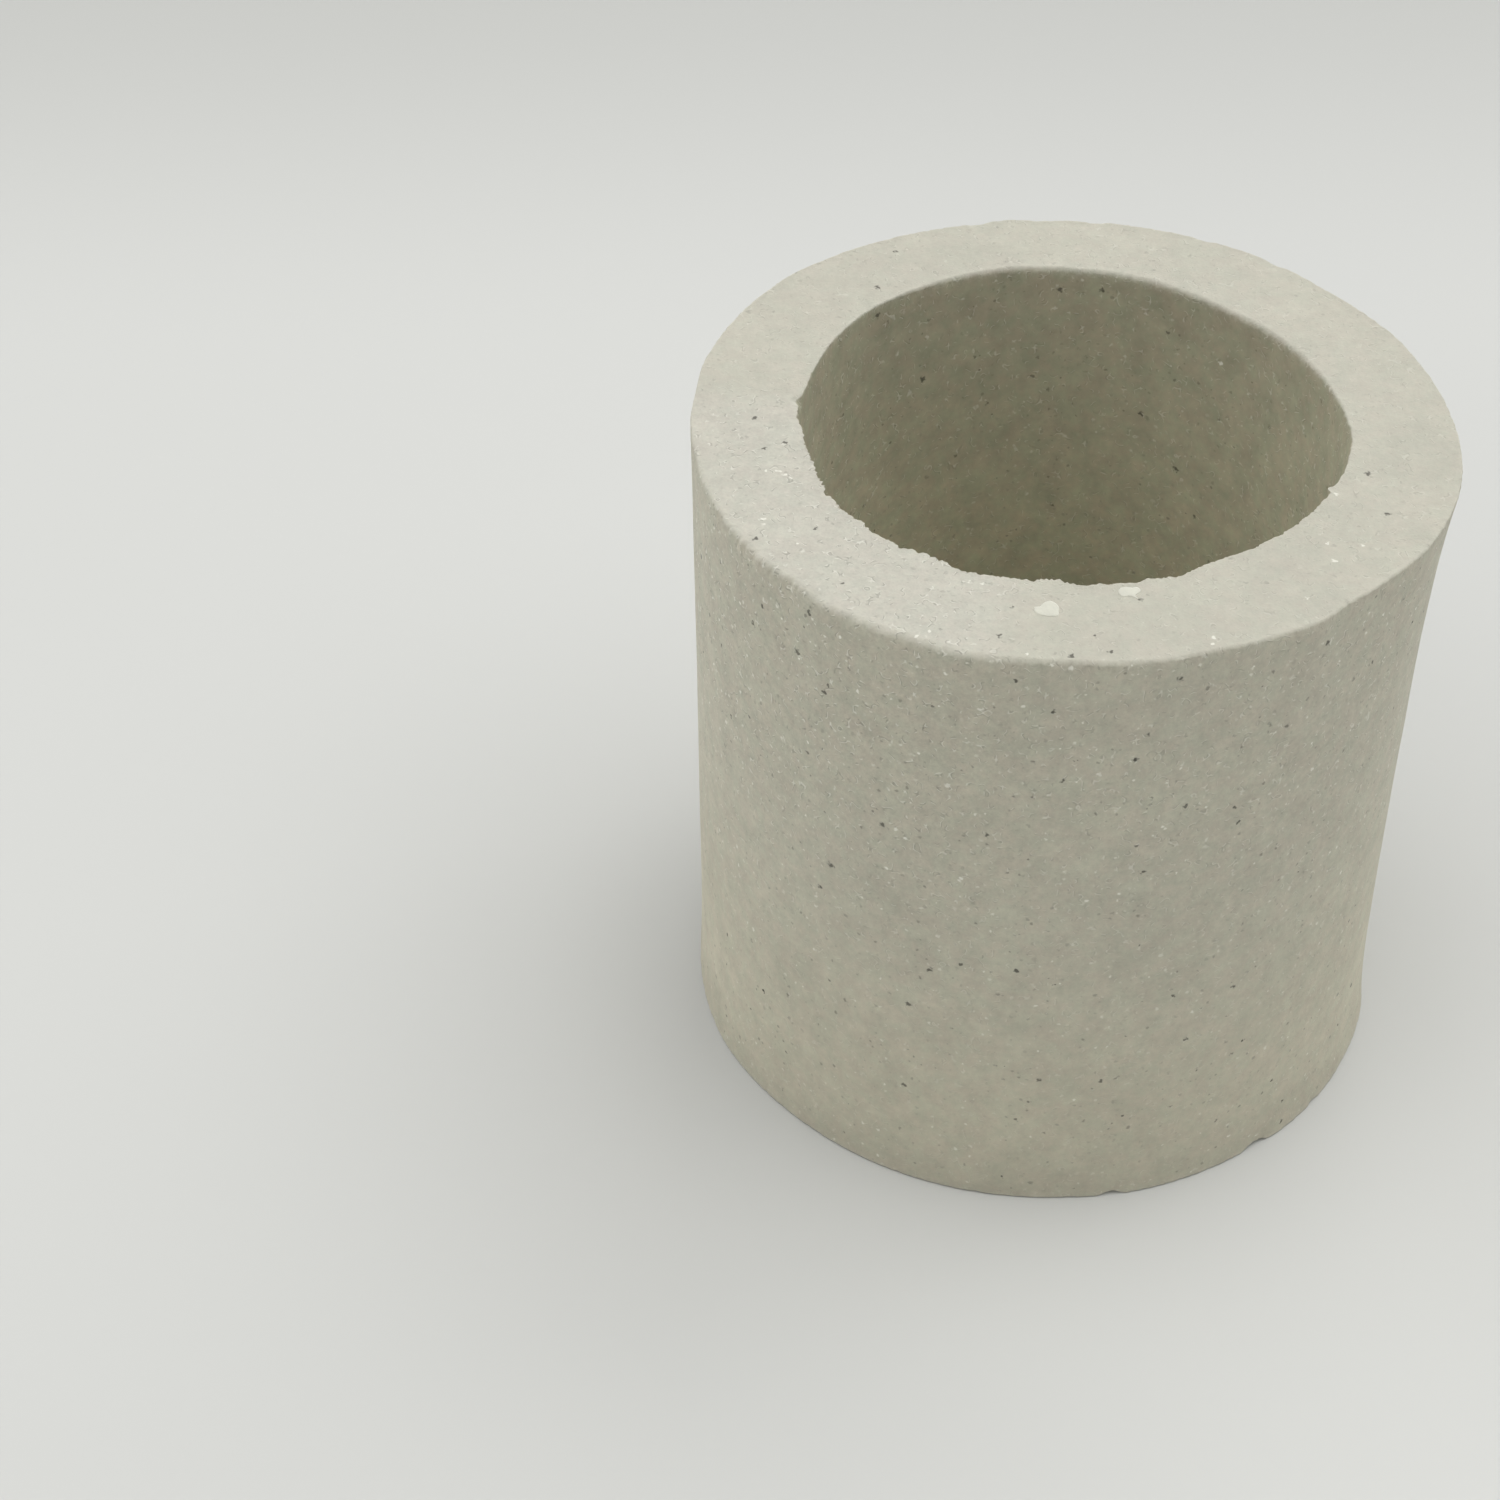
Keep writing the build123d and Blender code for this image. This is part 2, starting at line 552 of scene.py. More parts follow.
    def chips(self) -> list[Chip]:
        """The scoops broken out of the edges.

        Returns:
            Scoops of the near and the far top rim, the bore's mouth and the foot.
        """
        r, b, h = self.outer_radius, self.bore_radius, self.height
        near_rim, far_rim, mouth, foot = (-0.7, -0.7), (-0.7, -0.5), (0.9, -0.5), (-0.5, 0.8)
        return [
            Chip(-141, r, h, 1.1, 0.1, *near_rim),
            Chip(-126, r, h, 0.8, 0.1, *near_rim),
            Chip(-58, r - 0.1, h, 0.7, 0.07, *near_rim),
            Chip(56, r, h, 0.9, 0.12, *far_rim),
            Chip(69, r, h, 0.7, 0.1, *far_rim),
            Chip(88, r - 0.2, h, 1.2, 0.12, *far_rim),
            Chip(107, r - 0.1, h, 0.8, 0.1, *far_rim),
            Chip(178, b + 0.1, h, 0.5, 0.25, *mouth),
            Chip(-32, r + 0.5, 0.0, 0.6, 0.1, -0.8, 0.5),
            Chip(-46, r + 0.3, 0.0, 1.1, 0.28, *foot),
            Chip(-73, r + 0.1, 0.0, 0.9, 0.2, *foot),
        ]

    def surface(self) -> tuple[Array, dict[str, Array]]:
        """Work out the whole surface.

        The rows are moved along their own direction by the relief, then the chips are pushed
        in, and what would leave the solid's box is held at its side. The relief is long waves
        in the skin, drag marks and grit on the cut faces, and crumbly, worn edges.

        Returns:
            Points in rows by bearings by three, and the masks that the finish reads.
        """
        radius, height, out, up, cut, inside, edge = self.section()
        direction = polar(self.bearing, out, up)
        points = polar(self.bearing, radius, height)
        edge = np.clip(edge, 0.0, 1.0)

        drag = self.drag.at(points * np.array(self.drag_squeeze))
        grit = np.clip(self.grit.at(points) + self.grit_lift, 0.0, None)
        relief = self.wave_depth * self.waves.at(points) * (1.0 - cut)
        relief = relief - cut * (1.0 - edge) * (self.face_drop + self.drag_depth * drag)
        relief = relief - edge * (self.edge_wear + self.grit_depth * grit)
        points = points + direction * relief[..., None]

        rough = self.chip_noise.at(points)
        for chip in self.chips():
            outward, upward = chip.push(points, rough)
            points = points + polar(self.bearing, outward, upward)
        points = np.clip(points, self.low, self.high)
        masks = {"cut": cut, "inside": inside, "edge": edge}
        return points, masks | self.look(points, cut, inside)

    def look(self, points: Array, cut: Array, inside: Array) -> dict[str, Array]:
        """Work out the masks of the clay's look.

        Coarse is how plainly the grain shows: most where the clay tore, on the near left, and
        less towards the base. Low is 1 at the foot of the wall. Tone is how bright the clay
        is: broad soft patches of its own, painted shade at the foot of the wall where it meets
        the floor, and painted light low in the bore that turns into painted shade at its mouth.

        Args:
            points: The surface's points.
            cut: 1 on a wire-cut face.
            inside: 1 in the bore.

        Returns:
            The masks by name, with one value for each point.
        """
        height, skin = points[..., 2], 1.0 - cut - inside
        torn = self.grain_tear.share(self.bearing)
        gain = self.top_grain_gain + self.torn_grain_gain * torn
        wall = self.foot_grain + gain * rise(height, *self.grain_heights)
        face = self.face_grain + (self.torn_face_grain - self.face_grain) * torn
        coarse = skin * wall + cut * face + self.bore_grain * inside

        broad = 1.0 + self.broad_contrast * self.broad.at(points)
        # Painted shade: the foot of the wall is darkened where it meets the floor.
        foot = self.foot_painted_shade * skin * (1.0 - rise(height, *self.foot_heights))
        # Painted light low in the bore and painted shade near its mouth.
        bore = inside * (self.low_bore_painted_light - self.bore_painted_shade * rise(height, *self.bore_painted_heights))
        low = skin * rise(height, *self.warm_heights)
        return {"coarse": coarse, "low": low, "tone": broad * (1.0 - foot + bore)}

    def spot(self, surface: Surface, bearing: float, along: float) -> Array:
        """A point on one of the surfaces.

        Args:
            surface: The surface.
            bearing: Bearing in degrees.
            along: The height on the wall and in the bore, and the distance from the axis on
                the top face.

        Returns:
            The point.
        """
        if surface is Surface.FACE:
            return polar(bearing, along, self.height - self.face_drop)
        radius = self.wall_radius if surface is Surface.WALL else self.mouth_radius
        return polar(bearing, radius(bearing, along), along)

    def build(self) -> Piece:
        """Make the mesh, closed along the section and around the ring.

        Returns:
            The ring's object, at the origin.
        """
        points, masks = self.surface()
        piece = grid_piece("stoneware_ring", points, capped=False)
        for name, values in masks.items():
            paint(piece, name, values)
        bore = np.where(masks["inside"] > 0.5, Surface.BORE.value, Surface.WALL.value)
        slots = np.where(masks["cut"] > 0.5, Surface.FACE.value, bore)
        piece.data.polygons.foreach_set("material_index", slots.ravel())
        return piece


@dataclass(frozen=True)
class Flake:
    """A thin white flake of hard grit that the wire left lying in the top face.

    Its outline is a radius around its own middle. Its top is a low dome, which falls from the
    crown to the rim as the fourth power of the share of that radius, with a little grit.
    """

    name: str
    bearing: float
    radius: float
    outline: EdgeLine
    seed: int
    crown: float = 0.05
    rim: float = 0.025
    sunk: float = 0.15
    around: int = 72
    rows: int = 8
    middle: float = 0.02
    undercut: float = 0.97
    grit_depth: float = 0.012
    grit_cell: float = 0.22

    def build(self, face_height: float) -> Piece:
        """Make the mesh: rows out over the dome, down the side and back under it.

        Args:
            face_height: Height of the face that the flake lies in.

        Returns:
            The flake's object, at the origin.
        """
        angle = np.linspace(-180.0, 180.0, self.around, endpoint=False)
        over = np.linspace(self.middle, 1.0, self.rows)
        back = np.linspace(self.undercut, self.middle, 3)
        share = np.concatenate([over, back])[:, None]
        under = (np.arange(share.size) >= self.rows)[:, None]
        spot = polar(angle, share * self.outline.at(angle), 0.0)
        grit = self.grit_depth * ClayNoise(self.seed, self.grit_cell, octaves=2).at(spot)
        dome = self.rim + (self.crown - self.rim) * (1.0 - share**4) + np.minimum(grit, 0.0)
        spot[..., 2] = face_height + np.where(under, -self.sunk, dome)
        points = spot + polar(self.bearing, self.radius, 0.0)
        return grid_piece(self.name, points, capped=True)


def grid_piece(name: str, points: Array, capped: bool) -> Piece:
    """Make a mesh from rows of points that close up around the piece.

    Args:
        name: The object's name.
        points: Rows by columns by three, in millimetres.
        capped: True for rows that run down a solid piece, with a cap on the first and on the
            last, and False for rows that go all round a section.

    Returns:
        The object.
    """
    count, around = points.shape[:2]
    index = np.arange(count * around).reshape(count, around)
    ahead = np.roll(index, -1, axis=1)
    if capped:
        corners = [index[:-1], index[1:], ahead[1:], ahead[:-1]]
        caps = [index[0].tolist(), index[-1][::-1].tolist()]
    else:
        corners = [index, ahead, np.roll(ahead, -1, axis=0), np.roll(index, -1, axis=0)]
        caps = []
    faces = np.stack(corners, axis=-1).reshape(-1, 4).tolist()
    return mesh_piece(name, points.reshape(-1, 3), faces + caps)


def mesh_piece(name: str, points: Array, faces: list[list[int]]) -> Piece:
    """Put a worked-out surface into a smooth-shaded mesh object at the origin.

    Args:
        name: The object's name.
        points: Vertices in millimetres.
        faces: Vertex numbers of each face, in order around its outside.

    Returns:
        The object, linked to the scene.
    """
    mesh = bpy.data.meshes.new(name)
    mesh.from_pydata((points * MM).tolist(), [], faces)
    mesh.polygons.foreach_set("use_smooth", np.ones(len(faces), bool))
    mesh.update()
    piece = bpy.data.objects.new(name, mesh)
    bpy.context.scene.collection.objects.link(piece)
    return piece


def paint(piece: Piece, name: str, values: Array) -> None:
    """Store one number for each vertex under a name, for the finish to read."""
    layer = piece.data.attributes.new(name, "FLOAT", "POINT")
    layer.data.foreach_set("value", values.astype(np.float32).ravel())


class Graph:
    """A node tree with short calls for the nodes that a clay finish needs."""

    def __init__(self, tree: Tree) -> None:
        """Hold the tree and empty it."""
        self.tree = tree
        tree.nodes.clear()

    def node(self, kind: str, inputs: dict | None = None, **settings: object) -> Node:
        """Add a node.

        Args:
            kind: The node's Blender type.
            inputs: Values or sockets by input name or number.
            settings: The node's own properties.

        Returns:
            The node.
        """
        node = self.tree.nodes.new(kind)
        for name, value in settings.items():
            setattr(node, name, value)
        for name, value in (inputs or {}).items():
            self.feed(node.inputs[name], value)
        return node

    def feed(self, socket: Socket, value: object) -> None:
        """Link a socket to an input, or set the input's own value."""
        if isinstance(value, Socket):
            self.tree.links.new(value, socket)
        else:
            socket.default_value = value

    def painted(self, name: str) -> Socket:
        """Read a number that was painted on the mesh."""
        return self.node("ShaderNodeAttribute", attribute_name=name).outputs["Fac"]

    def group(self, tree: Tree, **inputs: object) -> Node:
        """Add a node group with values or sockets for its inputs."""
        return self.node("ShaderNodeGroup", inputs, node_tree=tree)

    def math(self, operation: str, *values: object) -> Socket:
        """Add a Math node and return its result."""
        node = self.node("ShaderNodeMath", dict(enumerate(values)), operation=operation)
        return node.outputs[0]

    def vector(self, operation: str, *values: object, result: str = "Vector") -> Socket:
        """Add a Vector Math node and return its vector, or its number with result Value."""
        node = self.node("ShaderNodeVectorMath", dict(enumerate(values)), operation=operation)
        return node.outputs[result]

    def scaled(self, vector: object, factor: object) -> Socket:
        """Multiply a vector or colour by one number."""
        inputs = {"Vector": vector, "Scale": factor}
        return self.node("ShaderNodeVectorMath", inputs, operation="SCALE").outputs["Vector"]

    def noise(
        self, vector: object, cell: float, detail: float = 2.0, roughness: float = 0.5
    ) -> Node:
        """Add a Noise Texture whose features are about one cell wide."""
        inputs = {"Vector": vector, "Scale": 1.0 / cell, "Detail": detail, "Roughness": roughness}
        return self.node("ShaderNodeTexNoise", inputs, noise_dimensions="3D")

    def ramp(
        self, value: object, low: object, high: object, start: object = 0.0, end: object = 1.0
    ) -> Socket:
        """Map a value smoothly from one range to another.

        Args:
            value: What to map.
            low: The value that gives start.
            high: The value that gives end.
            start: The result at low.
            end: The result at high.

        Returns:
            The mapped value.
        """
        inputs = {"Value": value, "From Min": low, "From Max": high, "To Min": start, "To Max": end}
        node = self.node("ShaderNodeMapRange", inputs, interpolation_type="SMOOTHSTEP")
        return node.outputs["Result"]

    def blend(self, share: object, under: object, over: object) -> Socket:
        """Mix two colours, with share of the second."""
        node = self.node("ShaderNodeMix", {0: share, 6: under, 7: over}, data_type="RGBA")
        return node.outputs[2]


def rgba(colour: Colour) -> tuple[float, float, float, float]:
    """A colour with full opacity."""
    return (*colour, 1.0)


class Finish(Graph):
    """A material in the making: the point on the ring in millimetres, and the colour so far."""

    def __init__(self, name: str) -> None:
        """Start the material, with no colour yet.

        Args:
            name: The material's name.
        """
        self.material = bpy.data.materials.new(name)
        self.material.use_nodes = True
        super().__init__(self.material.node_tree)
        self.place = self.scaled(self.node("ShaderNodeTexCoord").outputs["Object"], 1.0 / MM)
        self.colour: object = None

    def lay(self, share: Socket, colour: Colour) -> None:
        """Lay a share of another colour over the colour so far."""
        self.colour = self.blend(share, self.colour, rgba(colour))

    def close(self, **inputs: object) -> Material:
        """Give the colour so far to the shader.

        Args:
            inputs: More of the shader's inputs, with _ for the spaces in their names.

        Returns:
            The material.
        """
        named = {name.replace("_", " "): value for name, value in inputs.items()}
        shader = self.node("ShaderNodeBsdfPrincipled", {"Base Color": self.colour, **named})
        out = self.node("ShaderNodeOutputMaterial")
        self.feed(out.inputs["Surface"], shader.outputs["BSDF"])
        return self.material

    def close_dry(
        self, roughness: object, relief: Socket, depth: float, strength: float = 0.5
    ) -> Material:
        """Give the colour so far to the shader, dry and chalky over a fine relief.

        Args:
            roughness: How matte the surface is.
            relief: The relief's height.
            depth: Millimetres of relief for a height of 1.
            strength: Share of the relief's slope that shows.

        Returns:
            The material.
        """
        inputs = {"Strength": strength, "Distance": depth * MM, "Height": relief}
        normal = self.node("ShaderNodeBump", inputs).outputs["Normal"]
        return self.close(Roughness=roughness, Diffuse_Roughness=1.0, Normal=normal)


def start_group(
    name: str, inputs: dict[str, str], outputs: tuple[str, ...]
) -> tuple[Tree, Graph, object, Node]:
    """Start a shader node group.

    Args:
        name: The group's name.
        inputs: Socket types by input name.
        outputs: Names of the numbers that it puts out.

    Returns:
        The group, its graph, its inputs as sockets and its output node.
    """
    tree = bpy.data.node_groups.new(name, "ShaderNodeTree")
    for label, kind in inputs.items():
        tree.interface.new_socket(label, in_out="INPUT", socket_type=kind)
    for label in outputs:
        tree.interface.new_socket(label, in_out="OUTPUT", socket_type="NodeSocketFloat")
    graph = Graph(tree)
    return tree, graph, graph.node("NodeGroupInput").outputs, graph.node("NodeGroupOutput")


def speckle_group() -> Tree:
    """Make the group that scatters grains through the clay.

    Space is split into random cells. A cell holds one grain at its middle, whose radius is a
    random share of the given one. Roughness is added to the distance from the middle, so that
    the outlines are ragged. Of the cells, the given shares hold a dark and a white grain.

    Returns:
        The group, which puts out the masks of the grains, random in strength from grain to
        grain, with few strong ones.
    """
    least_size, least_strength, fall = 0.35, 0.12, 3.0
    names = ("Cell", "Radius", "Softness", "Roughness", "Dark share", "White share")
    inputs = dict.fromkeys(names, "NodeSocketFloat")
    inputs["Vector"] = "NodeSocketVector"
    tree, graph, given, out = start_group("clay_speckle", inputs, ("Dark", "White"))
    place = graph.vector("DIVIDE", given["Vector"], given["Cell"])
    cells = graph.node("ShaderNodeTexVoronoi", {"Vector": place, "Scale": 1.0}).outputs
    random = graph.node("ShaderNodeSeparateColor", {"Color": cells["Color"]}).outputs
    distance = graph.math("MULTIPLY_ADD", cells["Distance"], given["Cell"], given["Roughness"])
    share = graph.math("MULTIPLY_ADD", random[0], 1.0 - least_size, least_size)
    size = graph.math("MULTIPLY", given["Radius"], share)
    inner = graph.math("MULTIPLY", size, graph.math("SUBTRACT", 1.0, given["Softness"]))
    outer = graph.math("MULTIPLY", size, graph.math("ADD", 1.0, given["Softness"]))
    grain = graph.ramp(distance, inner, outer, 1.0, 0.0)
    strength = graph.math("POWER", random[2], fall)
    strength = graph.math("MULTIPLY_ADD", strength, 1.0 - least_strength, least_strength)
    grain = graph.math("MULTIPLY", grain, strength)
    dark = graph.math("LESS_THAN", random[1], given["Dark share"])
    white = graph.math("SUBTRACT", 1.0, given["White share"])
    white = graph.math("GREATER_THAN", random[1], white)
    graph.feed(out.inputs["Dark"], graph.math("MULTIPLY", grain, dark))
    graph.feed(out.inputs["White"], graph.math("MULTIPLY", grain, white))
    return tree


def ridge_group() -> Tree:
    """Make the group of the short bent scratches that the grit leaves in the clay.

    A pale crest runs where one noise crosses its middle value, with a dark groove beside it,
    and both are kept only where a second noise is high.

    Returns:
        The group, which puts out the masks of the crests and the grooves.
    """
    cell, half_width, middles = 0.42, 0.05, {"Crest": 0.5, "Groove": 0.58}
    second_cell, second_place, second_levels = 0.36, (31.7, 5.3, 11.9), (0.55, 0.68)
    inputs = {"Vector": "NodeSocketVector"}
    tree, graph, given, out = start_group("clay_ridges", inputs, tuple(middles))
    level = graph.noise(given["Vector"], cell, 0.0).outputs["Fac"]
    place = graph.vector("ADD", given["Vector"], second_place)
    second = graph.noise(place, second_cell, 0.0).outputs["Fac"]
    kept = graph.ramp(second, *second_levels)
    for name, middle in middles.items():
        away = graph.math("ABSOLUTE", graph.math("SUBTRACT", level, middle))
        line = graph.ramp(away, 0.0, half_width, 1.0, 0.0)
        graph.feed(out.inputs[name], graph.math("MULTIPLY", line, kept))
    return tree


def grain_group() -> Tree:
    """Make the group of the clay's fine grain and the soft patches behind it.

    Returns:
        The group, which puts out a tone to multiply a colour by, and a height.
    """
    inputs = dict.fromkeys(("Fine", "Patches"), "NodeSocketFloat")
    inputs["Vector"] = "NodeSocketVector"
    tree, graph, given, out = start_group("clay_grain", inputs, ("Tone", "Height"))
    fine = graph.noise(given["Vector"], cell=0.36, detail=2.0, roughness=1.0).outputs["Fac"]
    fine = graph.math("SUBTRACT", fine, 0.5)
    patches = graph.noise(given["Vector"], cell=1.5, detail=2.0, roughness=0.8).outputs["Fac"]
    patches = graph.math("SUBTRACT", patches, 0.5)
    tone = graph.math("MULTIPLY_ADD", patches, given["Patches"], 1.0)
    graph.feed(out.inputs["Tone"], graph.math("MULTIPLY_ADD", fine, given["Fine"], tone))
    graph.feed(out.inputs["Height"], fine)
    return tree


@dataclass
class ClayGroups:
    """The node groups that the finishes share: grains, short scratches and fine grain."""

    speckle: Tree = field(default_factory=speckle_group)
    ridges: Tree = field(default_factory=ridge_group)
    grain: Tree = field(default_factory=grain_group)


@dataclass(frozen=True)
class Grains:
    """Dark and white grains of one size: how thickly they are strewn, how large, what colour.

    Of the cells, the shares hold a dark and a white grain. The offset keeps the cells of one
    size apart from those of another. The strengths are how plainly the dark and the white
    ones show on the wall, in the bore and on the cut faces.
    """

    cell: float
    radius: float
    softness: float
    offset: tuple[float, float, float]
    dark_share: float
    dark: Colour
    dark_strengths: tuple[float, float, float]
    white_share: float
    white: Colour
    white_strengths: tuple[float, float, float]
    ragged_radius: float = 0.15

    def strew(
        self, clay: Finish, speckle: Tree, surface: Surface, rough: Socket, weight: Socket
    ) -> None:
        """Strew the grains over the clay.

        Args:
            clay: The material.
            speckle: The group that scatters grains.
            surface: Which surface the material is for.
            rough: Random distance in millimetres for the outlines of ragged_radius.
            weight: How plainly the white grains show here.
        """
        inputs = {
            "Vector": clay.vector("ADD", clay.place, self.offset),
            "Cell": self.cell,
            "Radius": self.radius,
            "Softness": self.softness,
            "Roughness": clay.math("MULTIPLY", rough, self.radius / self.ragged_radius),
            "Dark share": self.dark_share,
            "White share": self.white_share,
        }
        grain = clay.group(speckle, **inputs).outputs
        dark = clay.math("MULTIPLY", grain["Dark"], self.dark_strengths[surface.value])
        white = clay.math("MULTIPLY", weight, self.white_strengths[surface.value])
        clay.lay(dark, self.dark)
        clay.lay(clay.math("MULTIPLY", grain["White"], white), self.white)


@dataclass(frozen=True)
class Marks:
    """Single spots of one surface that can be told apart, all dark or all white.

    Each has its bearing, its place along the surface as StonewareRing.spot takes it, and its
    size in millimetres.
    """

    surface: Surface
    white: bool
    spots: Spots


@dataclass(frozen=True)
class BySurface:
    """A strength on the wall, and what is added to it in the bore and on the cut faces."""

    wall: float
    bore: float
    cut: float

    def at(self, clay: Finish, inside: Socket, cut: Socket) -> Socket:
        """The strength where the masks of the bore and the cut faces are as given."""
        value = clay.math("MULTIPLY_ADD", inside, self.bore, self.wall)
        return clay.math("MULTIPLY_ADD", cut, self.cut, value)


@dataclass(frozen=True)
class Stoneware:
    """Unglazed fired clay: grey-beige, mottled green and brown, with dark and white grains."""

    name: str = "stoneware"
    skin: Colour = (0.592, 0.571, 0.466)
    bore: Colour = (0.523, 0.498, 0.358)
    cut: Colour = (0.611, 0.596, 0.51)
    torn_cut: Colour = (0.636, 0.621, 0.543)
    green: Colour = (0.92, 1.03, 1.0)
    brown: Colour = (1.08, 0.97, 1.0)
    # Warm tint of the wall's lower part: partly the clay's own, partly painted warm bounce light
    low: Colour = (1.012, 1.0, 0.965)
    # Pale crest of the edges: partly pale worn crumbs, partly painted highlight where the rounded
    # edges turn from the light
    crest: Colour = (0.64, 0.622, 0.53)
    dark: Colour = (0.06, 0.056, 0.04)
    white: Colour = (0.93, 0.92, 0.84)

    # Grain, soft patches, tint, scratches, and the painted highlight on the edges' crests
    fineness: BySurface = BySurface(0.36, -0.12, -0.1)
    patches: BySurface = BySurface(0.33, 0.19, -0.15)
    tint: BySurface = BySurface(0.22, 0.2, -0.09)
    tint_cell: float = 1.1
    tint_roughness: float = 0.7
    tint_levels: tuple[float, float] = (0.3, 0.7)
    pale_scratches: BySurface = BySurface(0.42, 0.0, -0.12)
    dark_scratches: float = 0.17
    edge_highlight_heights: tuple[float, float] = (-0.1, 0.15)
    edge_highlight_shares: tuple[float, float] = (0.15, 0.55)
    edge_highlight_fall: float = 2.5

    # Relief and roughness
    steepness: float = 0.8
    bore_smoothing: float = 0.5
    scratch_steepness: float = 0.6
    relief_depth: float = 0.05
    matte_heights: tuple[float, float] = (-0.3, 0.3)
    matte: tuple[float, float] = (0.8, 0.92)

    # Grains and single marks, with ragged outlines
    ragged_cell: float = 0.15
    ragged: float = 0.32
    mark_strength: float = 0.75
    mark_shares: tuple[float, float] = (0.3, 1.2)
    grains: tuple[Grains, ...] = (
        Grains(
            cell=0.42,
            radius=0.09,
            softness=0.6,
            offset=(17.7, 30.09, 0.0),
            dark_share=0.5,
            dark=(0.17, 0.16, 0.12),
            dark_strengths=(0.6, 0.62, 0.7),
            white_share=0.5,
            white=(0.9, 0.89, 0.8),
            white_strengths=(1.05, 0.5, 0.42),
        ),
        Grains(
            cell=0.8,
            radius=0.12,
            softness=0.5,
            offset=(41.9, 71.23, 0.0),
            dark_share=0.5,
            dark=(0.05, 0.046, 0.034),
            dark_strengths=(0.95, 0.68, 0.85),
            white_share=0.45,
            white=(0.95, 0.94, 0.86),
            white_strengths=(0.75, 0.35, 0.45),
        ),
    )
    marks: tuple[Marks, ...] = (
        Marks(
            Surface.WALL,
            white=False,
            spots=(
                (-122.3, 21.1, 0.2), (-129.5, 33.9, 0.2), (-70.9, 36.7, 0.18), (-67.9, 28.5, 0.14),
                (-126.9, 36.9, 0.16), (-108.2, 7.2, 0.18), (-97.0, 26.7, 0.15), (-58.8, 26.4, 0.15),
                (-108.0, 13.5, 0.18), (-46.9, 36.3, 0.16), (-76.7, 9.3, 0.14), (-34.9, 32.8, 0.15),
                (-73.4, 24.4, 0.13), (-123.9, 32.5, 0.14), (-123.2, 33.0, 0.11),
                (-63.0, 11.4, 0.12), (-104.7, 16.5, 0.12), (-54.0, 8.9, 0.12), (-59.9, 27.6, 0.12),
                (-66.3, 15.0, 0.12), (-88.7, 35.0, 0.12), (-139.8, 33.5, 0.14), (-99.8, 17.4, 0.11),
                (-86.5, 30.7, 0.11),
            ),
        ),
        Marks(
            Surface.FACE,
            white=False,
            spots=(
                (-86.7, 18.3, 0.15), (-165.6, 15.4, 0.11), (-9.9, 15.3, 0.17), (133.4, 15.4, 0.16),
                (-175.4, 15.8, 0.16), (-142.4, 18.3, 0.14), (-97.8, 17.3, 0.14),
                (-73.5, 14.4, 0.15), (-125.2, 17.3, 0.12), (-167.0, 14.3, 0.12),
                (-80.9, 18.0, 0.12), (-82.8, 16.8, 0.11), (-20.1, 17.0, 0.13), (123.8, 17.8, 0.12),
                (-97.0, 15.1, 0.1), (-139.4, 15.4, 0.08),
            ),
        ),
        Marks(
            Surface.BORE,
            white=False,
            spots=(
                (138.0, 37.4, 0.18), (93.5, 36.7, 0.2), (84.1, 36.9, 0.17), (125.4, 32.1, 0.2),
                (62.5, 26.6, 0.2), (72.5, 29.5, 0.15),
            ),
        ),
        Marks(
            Surface.FACE,
            white=True,
            spots=(
                (-158.8, 15.7, 0.09), (-158.1, 15.1, 0.11), (-156.8, 14.9, 0.12),
                (-155.5, 14.7, 0.09), (-146.2, 17.2, 0.12), (-145.0, 17.4, 0.09),
                (-137.6, 16.8, 0.08), (-109.2, 18.7, 0.12), (-107.9, 18.1, 0.1),
                (-106.7, 13.9, 0.08), (-104.1, 13.8, 0.1), (-93.1, 18.4, 0.09), (-64.9, 17.9, 0.13),
                (-65.6, 18.3, 0.1), (-47.0, 17.5, 0.11), (-36.4, 16.5, 0.12), (-33.1, 15.5, 0.1),
                (-29.9, 16.9, 0.09), (-18.7, 14.2, 0.12),
            ),
        ),
        Marks(Surface.WALL, white=True, spots=((-100.7, 23.4, 0.15), (-99.0, 34.7, 0.14))),
        Marks(Surface.BORE, white=True, spots=((53.8, 34.6, 0.16),)),
    )

    def build(self, ring: StonewareRing, surface: Surface, groups: ClayGroups) -> Material:
        """Make the material of one surface. The three differ in their grains and marks only.

        Args:
            ring: The ring, for where its marks are.
            surface: Which surface the material is for.
            groups: The shared node groups.

        Returns:
            The material.
        """
        clay = Finish(f"{self.name}_{surface.name.lower()}")
        cut, inside, edge, coarse = map(clay.painted, ("cut", "inside", "edge", "coarse"))
        torn = clay.ramp(coarse, ring.face_grain, ring.torn_face_grain)
        face = clay.blend(torn, rgba(self.cut), rgba(self.torn_cut))
        clay.colour = clay.blend(inside, rgba(self.skin), rgba(self.bore))
        clay.colour = clay.blend(cut, clay.colour, face)
        self.mottle(clay, self.tint.at(clay, inside, cut))

        patches = self.patches.at(clay, inside, cut)
        fineness = clay.math("MULTIPLY", coarse, self.fineness.at(clay, inside, cut))
        fine = clay.group(groups.grain, Vector=clay.place, Fine=fineness, Patches=patches).outputs
        clay.colour = clay.scaled(clay.colour, fine["Tone"])
        # Painted highlight on the edges' crests, partly pale wear on the crumbs: the rounded edges
        # are paled where they turn from the light.
        edge_highlight = clay.ramp(fine["Height"], *self.edge_highlight_heights, *self.edge_highlight_shares)
        edge_highlight = clay.math("MULTIPLY", clay.math("POWER", edge, self.edge_highlight_fall), edge_highlight)
        clay.lay(edge_highlight, self.crest)
        steep = clay.math("ADD", edge, self.steepness)
        steep = clay.math("MULTIPLY_ADD", inside, -self.bore_smoothing, steep)
        relief = clay.math("MULTIPLY", fine["Height"], steep)

